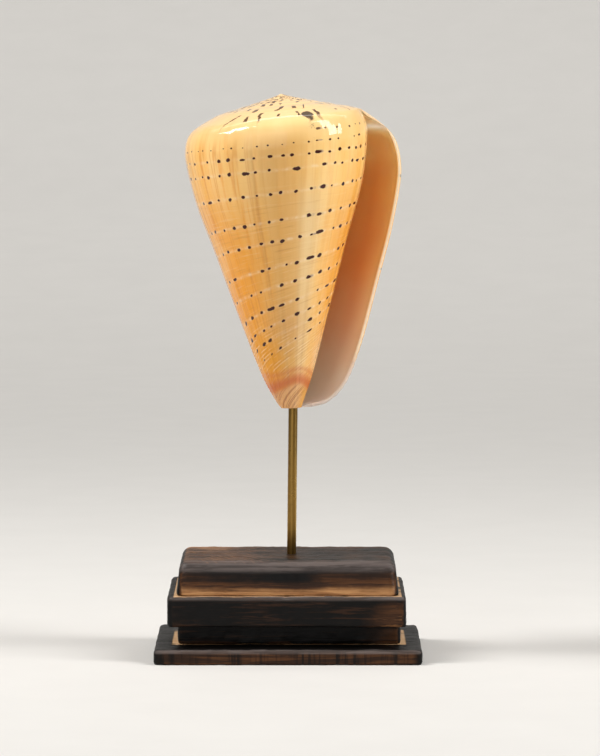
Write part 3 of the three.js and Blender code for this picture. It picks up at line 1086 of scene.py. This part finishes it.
def clear_selection(kind):
    """Deselects all of the active mesh, ready for its faces or its edges to be picked."""
    bpy.ops.object.mode_set(mode="EDIT")
    bpy.ops.mesh.select_mode(type=kind)
    bpy.ops.mesh.select_all(action="DESELECT")
    bpy.ops.object.mode_set(mode="OBJECT")


def pick_faces(piece, wanted):
    """Leaves the piece in edit mode with the wanted faces selected."""
    clear_selection("FACE")
    for face in piece.data.polygons:
        face.select = wanted(face)
    bpy.ops.object.mode_set(mode="EDIT")


def pick_edges(piece, wanted):
    """Leaves the piece in edit mode with the edges selected whose two ends pass the test."""
    clear_selection("EDGE")
    corners = piece.data.vertices
    for edge in piece.data.edges:
        start, end = (corners[index].co for index in edge.vertices)
        edge.select = wanted(start, end)
    bpy.ops.object.mode_set(mode="EDIT")


def bevel_edges(piece, radius, wanted):
    """Rounds the edges whose two ends pass the test."""
    pick_edges(piece, wanted)
    bpy.ops.mesh.bevel(offset=radius, segments=BEVEL_SEGMENTS, affect="EDGES")
    bpy.ops.object.mode_set(mode="OBJECT")


def wear_surface(board, wear):
    """Gives the board an even mesh and leaves its faces slightly uneven."""
    remesh = board.modifiers.new("even_mesh", "REMESH")
    remesh.mode = "VOXEL"
    remesh.voxel_size = BOARD_VOXEL
    bpy.ops.object.modifier_apply(modifier=remesh.name)
    for name, size, share in WEAR_LAYERS:
        texture = bpy.data.textures.new(f"{board.name}_{name}", "CLOUDS")
        texture.noise_scale = size
        texture.noise_depth = 2
        dent = board.modifiers.new(name, "DISPLACE")
        dent.texture = texture
        dent.strength = wear * share
        dent.mid_level = WEAR_LEVEL
        dent.texture_coords = "LOCAL"
        bpy.ops.object.modifier_apply(modifier=dent.name)
    bpy.ops.object.mode_set(mode="EDIT")
    bpy.ops.mesh.select_all(action="SELECT")
    bpy.ops.mesh.normals_make_consistent(inside=False)
    bpy.ops.object.mode_set(mode="OBJECT")


class MakeStudio(bpy.types.Operator):
    """Lay the pale floor and set the soft lights and the camera"""
    bl_idname = "object.cone_shell_studio"
    bl_label = "Studio"

    def execute(self, context):
        settings = context.scene.cone_studio
        context.scene.view_settings.view_transform = "Standard"
        lay_floor()
        world = bpy.data.worlds.new("studio")
        context.scene.world = world
        world.use_nodes = True
        background = world.node_tree.nodes["Background"]
        background.inputs["Color"].default_value = FILL_WHITE
        background.inputs["Strength"].default_value = settings.fill
        soft_light("left_light", LEFT_LIGHT, LIGHT_TARGET, (0.2, 0.46), settings.side_power)
        soft_light("right_light", RIGHT_LIGHT, LIGHT_TARGET, (0.24, 0.8), settings.side_power)
        soft_light("front_light", FRONT_LIGHT, LIGHT_TARGET, (1.4, 1.2), settings.front_power)
        soft_light(
            "backdrop_light", BACKDROP_LIGHT, BACKDROP_TARGET, (4, 1), settings.backdrop_power)
        place_camera(context)
        return {"FINISHED"}


def lay_floor():
    """A pale sheet of paper that lies flat under the stand and sweeps up far behind it."""
    start_clean()
    bpy.ops.mesh.primitive_plane_add(size=FLOOR_SIZE, location=(0, WALL_Y - FLOOR_SIZE / 2, 0))
    floor = bpy.context.object
    floor.name = "floor"
    bpy.ops.object.transform_apply(location=True, rotation=True, scale=True)
    pick_edges(floor, lambda start, end: min(start.y, end.y) > WALL_Y - NEARLY)
    bpy.ops.mesh.extrude_region_move(TRANSFORM_OT_translate={"value": (0, 0, WALL_HEIGHT)})
    bpy.ops.object.mode_set(mode="OBJECT")
    bevel_edges(floor, SWEEP_RADIUS, lambda start, end: (
        min(start.y, end.y) > WALL_Y - NEARLY and max(start.z, end.z) < NEARLY))
    settle(floor)
    floor.data.materials.append(floor_finish())


def soft_light(name, location, target, size, power):
    """A rectangular light that faces its target."""
    bpy.ops.object.light_add(type="AREA", location=location)
    light = bpy.context.object
    light.name = name
    light.rotation_euler = (target - location).to_track_quat("-Z", "Y").to_euler()
    light.data.shape = "RECTANGLE"
    light.data.size, light.data.size_y = size
    light.data.energy = power


def place_camera(context):
    """A long lens far back and a little above the top of the shell."""
    bpy.ops.object.camera_add(location=CAMERA_PLACE, rotation=(CAMERA_PITCH, 0, 0))
    camera = context.object
    camera.name = "camera"
    camera.data.lens = CAMERA_LENS
    camera.data.sensor_width = CAMERA_SENSOR
    context.scene.camera = camera


class ConeShellPanel(bpy.types.Panel):
    """Lists the pieces and their settings"""
    bl_idname = "VIEW3D_PT_cone_shell"
    bl_label = "Cone Shell"
    bl_space_type = "VIEW_3D"
    bl_region_type = "UI"
    bl_category = "Cone Shell"

    def draw(self, context):
        for operator in OPERATORS:
            self.layout.operator(operator.bl_idname)
        for setting in SETTINGS:
            group = getattr(context.scene, setting)
            for name in group.bl_rna.properties.keys():
                if name not in ("rna_type", "name"):
                    self.layout.prop(group, name)


OPERATORS = (MakeShell, MakeRod, MakeBoards, MakeStudio)
SETTINGS = {"cone_shell": ShellSettings, "cone_stand": StandSettings, "cone_studio": StudioSettings}


def register():
    for group in (*SETTINGS.values(), *OPERATORS, ConeShellPanel):
        bpy.utils.register_class(group)
    for name, group in SETTINGS.items():
        setattr(bpy.types.Scene, name, bpy.props.PointerProperty(type=group))


def unregister():
    for name in SETTINGS:
        delattr(bpy.types.Scene, name)
    for group in reversed((*SETTINGS.values(), *OPERATORS, ConeShellPanel)):
        bpy.utils.unregister_class(group)


def main():
    register()
    bpy.ops.object.cone_shell_grow()
    bpy.ops.object.cone_shell_rod()
    bpy.ops.object.cone_shell_boards()
    bpy.ops.object.cone_shell_studio()


if __name__ == "__main__":
    main()
